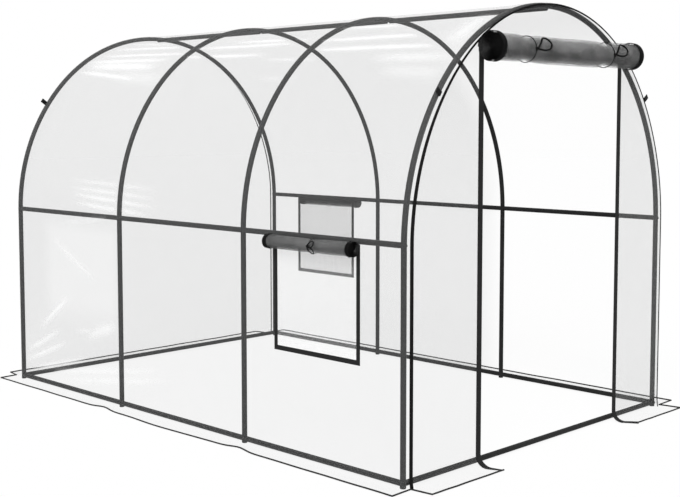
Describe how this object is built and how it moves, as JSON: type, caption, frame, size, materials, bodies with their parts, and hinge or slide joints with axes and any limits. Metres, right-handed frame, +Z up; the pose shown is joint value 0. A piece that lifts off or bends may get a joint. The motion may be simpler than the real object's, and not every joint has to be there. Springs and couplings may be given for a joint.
{
  "type": "polytunnel greenhouse",
  "caption": "Walk-in polytunnel greenhouse: steel tube hoops and rails under a clear film cover, with a rolled-up door, bound side windows and ground flaps.",
  "frame": {"origin": "on the ground, under the middle of the ridge", "axes": "+Z up, +Y along the ridge from the door end to the closed end, +X across to the right of someone who walks in"},
  "size_m": [2.18, 3.2967, 2.0368],
  "materials": {
    "frame_tube": "dark grey powder coat, satin",
    "clear_film": "clear polythene film, glossy, a little milky in its creases",
    "black_binding": "woven binding tape",
    "rolled_film": "many turns of film, grey and cloudy",
    "tie_cord": "braided cord",
    "insect_screen": "fine woven mesh",
    "webbing": "woven webbing"
  },
  "bodies": {
    "root": {"front_left_leg": "frame_tube", "front_right_leg": "frame_tube", "front_arch": "frame_tube", "second_left_leg": "frame_tube", "second_right_leg": "frame_tube", "second_arch": "frame_tube", "third_left_leg": "frame_tube", "third_right_leg": "frame_tube", "third_arch": "frame_tube", "rear_left_leg": "frame_tube", "rear_right_leg": "frame_tube", "rear_arch": "frame_tube", "ridge_rail": "frame_tube", "left_side_rail": "frame_tube", "right_side_rail": "frame_tube", "left_ground_rail": "frame_tube", "right_ground_rail": "frame_tube", "front_ground_rail": "frame_tube", "rear_ground_rail": "frame_tube", "roof_film": "clear_film", "left_wall_film": "clear_film", "right_wall_film": "clear_film", "front_left_film": "clear_film", "front_right_film": "clear_film", "door_header_film": "clear_film", "rear_film": "clear_film", "left_flap": "clear_film", "right_flap": "clear_film", "front_left_flap": "clear_film", "front_right_flap": "clear_film", "rear_flap": "clear_film", "door_left_binding": "black_binding", "door_right_binding": "black_binding", "door_head_binding": "black_binding", "left_window_binding": "black_binding", "right_window_binding": "black_binding", "door_roll": "rolled_film", "left_window_roll": "rolled_film", "right_window_roll": "rolled_film", "door_roll_ties": "tie_cord", "left_window_tie": "tie_cord", "right_window_tie": "tie_cord", "left_window_screen": "insect_screen", "right_window_screen": "insect_screen", "guy_tabs": "webbing"}
  },
  "joints": []
}
